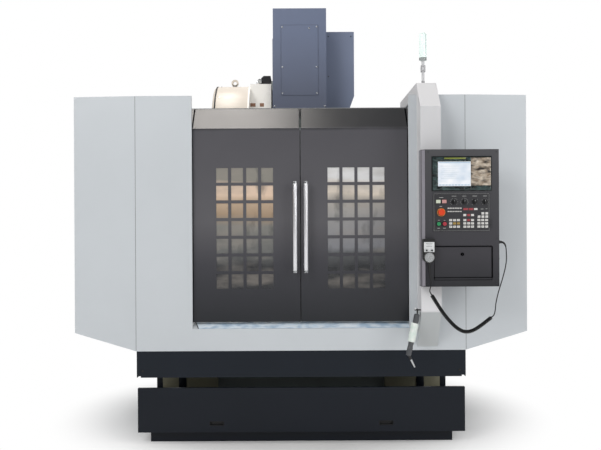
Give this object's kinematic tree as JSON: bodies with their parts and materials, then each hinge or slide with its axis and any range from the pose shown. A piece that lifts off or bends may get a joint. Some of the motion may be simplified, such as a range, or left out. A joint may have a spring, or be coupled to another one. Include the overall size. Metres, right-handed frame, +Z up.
{
  "type": "vertical machining centre",
  "caption": "Vertical machining centre: slides for the table and head, arm tool changer, sliding-door enclosure, hinged operator pendant with a handwheel, and a coolant tank.",
  "frame": {"origin": "on the floor, in the middle of the outer box measured without the handwheel's cord", "axes": "+X to the operator's right, +Y from the operator to the back, +Z up"},
  "size_m": [2.504, 2.322, 2.597],
  "materials": {
    "casting": "painted casting, machined where it slides",
    "casting_machined": "ground and scraped",
    "panel_grey": "fine powder coat",
    "sill_white": "fine powder coat",
    "dark_coat": "fine powder coat",
    "door_coat": "satin coat",
    "column_coat": "fine powder coat",
    "cream_coat": "gloss coat",
    "cover_coat": "satin coat",
    "pendant_coat": "fine texture coat",
    "motor_coat": "satin coat",
    "zinc_sheet": "bare sheet",
    "stainless": "brushed bar",
    "ground_steel": "ground and polished",
    "bare_aluminium": "turned",
    "window": "clear sheet",
    "lamp_lens": "translucent",
    "gun_plastic": "moulded",
    "screen_glass": "tinted",
    "panel_film": "printed film",
    "estop_red": "moulded",
    "green_button": "moulded",
    "red_button": "moulded",
    "lit_white": "moulded, lit",
    "lit_pink": "moulded, lit",
    "black_plastic": "moulded",
    "cord_rubber": "smooth sheath"
  },
  "bodies": {
    "frame": {"bed": "casting", "leveling_feet": "ground_steel", "column": "casting", "servo_motors": "motor_coat", "base_skirt": "dark_coat", "front_panel_left": "panel_grey", "front_panel_right": "panel_grey", "front_sill": "sill_white", "side_panel_left": "panel_grey", "side_panel_right": "panel_grey", "rear_panel": "panel_grey", "chip_tray": "zinc_sheet", "door_rail": "stainless", "pendant_column": "column_coat", "signal_lamp": "lamp_lens", "air_gun": "gun_plastic", "magazine_housing": "cream_coat", "electrical_cabinet": "panel_grey", "coolant_tank": "dark_coat"},
    "left_door": {"left_door": "door_coat", "left_glass": "window", "left_handle": "stainless"},
    "right_door": {"right_door": "door_coat", "right_glass": "window", "right_handle": "stainless"},
    "cabinet_door": {"cabinet_door": "panel_grey"},
    "saddle": {"saddle": "casting"},
    "way_cover": {"way_cover": "zinc_sheet"},
    "y_ballscrew": {"y_ballscrew": "ground_steel"},
    "x_ballscrew": {"x_ballscrew": "ground_steel"},
    "z_ballscrew": {"z_ballscrew": "ground_steel"},
    "table": {"table": "casting_machined"},
    "head": {"headstock": "casting", "head_cover": "cover_coat", "spindle_motor": "motor_coat", "cable_duct": "cover_coat"},
    "spindle": {"spindle": "ground_steel"},
    "carousel": {"carousel": "bare_aluminium"},
    "arm_shaft": {"arm_shaft": "ground_steel"},
    "tool_arm": {"tool_arm": "bare_aluminium"},
    "pendant": {"pendant_box": "pendant_coat", "screen_unit": "screen_glass", "operator_panel": "panel_film", "mpg_body": "black_plastic", "cord_lead": "cord_rubber", "cord_coil": "cord_rubber", "cord_tail": "cord_rubber"},
    "estop_button": {"estop_button": "estop_red"},
    "start_button": {"start_button": "green_button"},
    "stop_button": {"stop_button": "red_button"},
    "power_on_button": {"power_on_button": "lit_white"},
    "power_off_button": {"power_off_button": "lit_pink"},
    "mode_knob": {"mode_knob": "black_plastic"},
    "feed_knob": {"feed_knob": "black_plastic"},
    "rapid_knob": {"rapid_knob": "black_plastic"},
    "speed_knob": {"speed_knob": "black_plastic"},
    "compartment_door": {"compartment_door": "pendant_coat"},
    "mpg_wheel": {"mpg_wheel": "bare_aluminium"},
    "mpg_axis_knob": {"mpg_axis_knob": "black_plastic"},
    "mpg_step_knob": {"mpg_step_knob": "black_plastic"}
  },
  "joints": [
    {"name": "left_door_slide", "type": "slide", "parent": "frame", "child": "left_door", "axis": [-1, 0, 0], "range_m": [0, 0.53]},
    {"name": "right_door_slide", "type": "slide", "parent": "frame", "child": "right_door", "axis": [1, 0, 0], "range_m": [0, 0.53]},
    {"name": "cabinet_door_hinge", "type": "hinge", "parent": "frame", "child": "cabinet_door", "pos_m": [0.507, 1.1525, 1.36], "axis": [0, 0, -1], "range_deg": [0, 110]},
    {"name": "saddle_slide", "type": "slide", "parent": "frame", "child": "saddle", "axis": [0, 1, 0], "range_m": [-0.25, 0.25]},
    {"name": "way_cover_slide", "type": "slide", "parent": "frame", "child": "way_cover", "axis": [0, 1, 0], "range_m": [-0.125, 0.125]},
    {"name": "y_screw_spin", "type": "hinge", "parent": "frame", "child": "y_ballscrew", "pos_m": [0, 0.0245, 0.56], "axis": [0, 1, 0], "range_deg": [-9010, 9010]},
    {"name": "table_slide", "type": "slide", "parent": "saddle", "child": "table", "axis": [1, 0, 0], "range_m": [-0.4, 0.4]},
    {"name": "x_screw_spin", "type": "hinge", "parent": "saddle", "child": "x_ballscrew", "pos_m": [0, -0.0755, 0.695], "axis": [1, 0, 0], "range_deg": [-14410, 14410]},
    {"name": "head_slide", "type": "slide", "parent": "frame", "child": "head", "axis": [0, 0, 1], "range_m": [-0.5, 0]},
    {"name": "z_screw_spin", "type": "hinge", "parent": "frame", "child": "z_ballscrew", "pos_m": [0, 0.3995, 1.7], "axis": [0, 0, 1], "range_deg": [-18010, 10]},
    {"name": "spindle_spin", "type": "hinge", "parent": "head", "child": "spindle", "pos_m": [0, -0.0755, 1.6], "axis": [0, 0, 1], "continuous": true},
    {"name": "carousel_spin", "type": "hinge", "parent": "frame", "child": "carousel", "pos_m": [-0.4, -0.0755, 1.74], "axis": [1, 0, 0], "continuous": true},
    {"name": "arm_drop", "type": "slide", "parent": "frame", "child": "arm_shaft", "axis": [0, 0, 1], "range_m": [-0.115, 0]},
    {"name": "arm_turn", "type": "hinge", "parent": "arm_shaft", "child": "tool_arm", "pos_m": [-0.235, -0.0755, 1.3675], "axis": [0, 0, 1], "range_deg": [0, 270]},
    {"name": "pendant_swing", "type": "hinge", "parent": "frame", "child": "pendant", "pos_m": [0.648, -1.003, 1.2325], "axis": [0, 0, 1], "range_deg": [-90, 0]},
    {"name": "start_press", "type": "slide", "parent": "pendant", "child": "start_button", "axis": [0, 1, 0], "range_m": [0, 0.003], "stiffness_N_per_m": 400, "springref_m": -0.002},
    {"name": "stop_press", "type": "slide", "parent": "pendant", "child": "stop_button", "axis": [0, 1, 0], "range_m": [0, 0.003], "stiffness_N_per_m": 400, "springref_m": -0.002},
    {"name": "power_on_press", "type": "slide", "parent": "pendant", "child": "power_on_button", "axis": [0, 1, 0], "range_m": [0, 0.0025], "stiffness_N_per_m": 400, "springref_m": -0.002},
    {"name": "power_off_press", "type": "slide", "parent": "pendant", "child": "power_off_button", "axis": [0, 1, 0], "range_m": [0, 0.0025], "stiffness_N_per_m": 400, "springref_m": -0.002},
    {"name": "estop_press", "type": "slide", "parent": "pendant", "child": "estop_button", "axis": [0, 1, 0], "range_m": [0, 0.004]},
    {"name": "mode_turn", "type": "hinge", "parent": "pendant", "child": "mode_knob", "pos_m": [0.797, -1.1085, 1.315], "axis": [0, 1, 0], "range_deg": [-135, 135]},
    {"name": "feed_turn", "type": "hinge", "parent": "pendant", "child": "feed_knob", "pos_m": [0.8505, -1.1085, 1.315], "axis": [0, 1, 0], "range_deg": [-135, 135]},
    {"name": "rapid_turn", "type": "hinge", "parent": "pendant", "child": "rapid_knob", "pos_m": [0.904, -1.1085, 1.315], "axis": [0, 1, 0], "range_deg": [-135, 135]},
    {"name": "speed_turn", "type": "hinge", "parent": "pendant", "child": "speed_knob", "pos_m": [0.9575, -1.1085, 1.315], "axis": [0, 1, 0], "range_deg": [-135, 135]},
    {"name": "compartment_flap", "type": "hinge", "parent": "pendant", "child": "compartment_door", "pos_m": [0.843, -1.1025, 0.915], "axis": [1, 0, 0], "range_deg": [0, 90]},
    {"name": "mpg_spin", "type": "hinge", "parent": "pendant", "child": "mpg_wheel", "pos_m": [0.661, -1.1505, 1.03], "axis": [0, 1, 0], "continuous": true},
    {"name": "mpg_axis_turn", "type": "hinge", "parent": "pendant", "child": "mpg_axis_knob", "pos_m": [0.647, -1.1475, 1.066], "axis": [0, 1, 0], "range_deg": [-75, 75]},
    {"name": "mpg_step_turn", "type": "hinge", "parent": "pendant", "child": "mpg_step_knob", "pos_m": [0.675, -1.1475, 1.066], "axis": [0, 1, 0], "range_deg": [-45, 45]}
  ],
  "couplings": [
    {"joint": "way_cover_slide", "follows": "saddle_slide", "ratio": 0.5},
    {"joint": "y_screw_spin", "follows": "saddle_slide", "rad_per_m": 628.32},
    {"joint": "x_screw_spin", "follows": "table_slide", "rad_per_m": 628.32},
    {"joint": "z_screw_spin", "follows": "head_slide", "rad_per_m": 628.32}
  ]
}
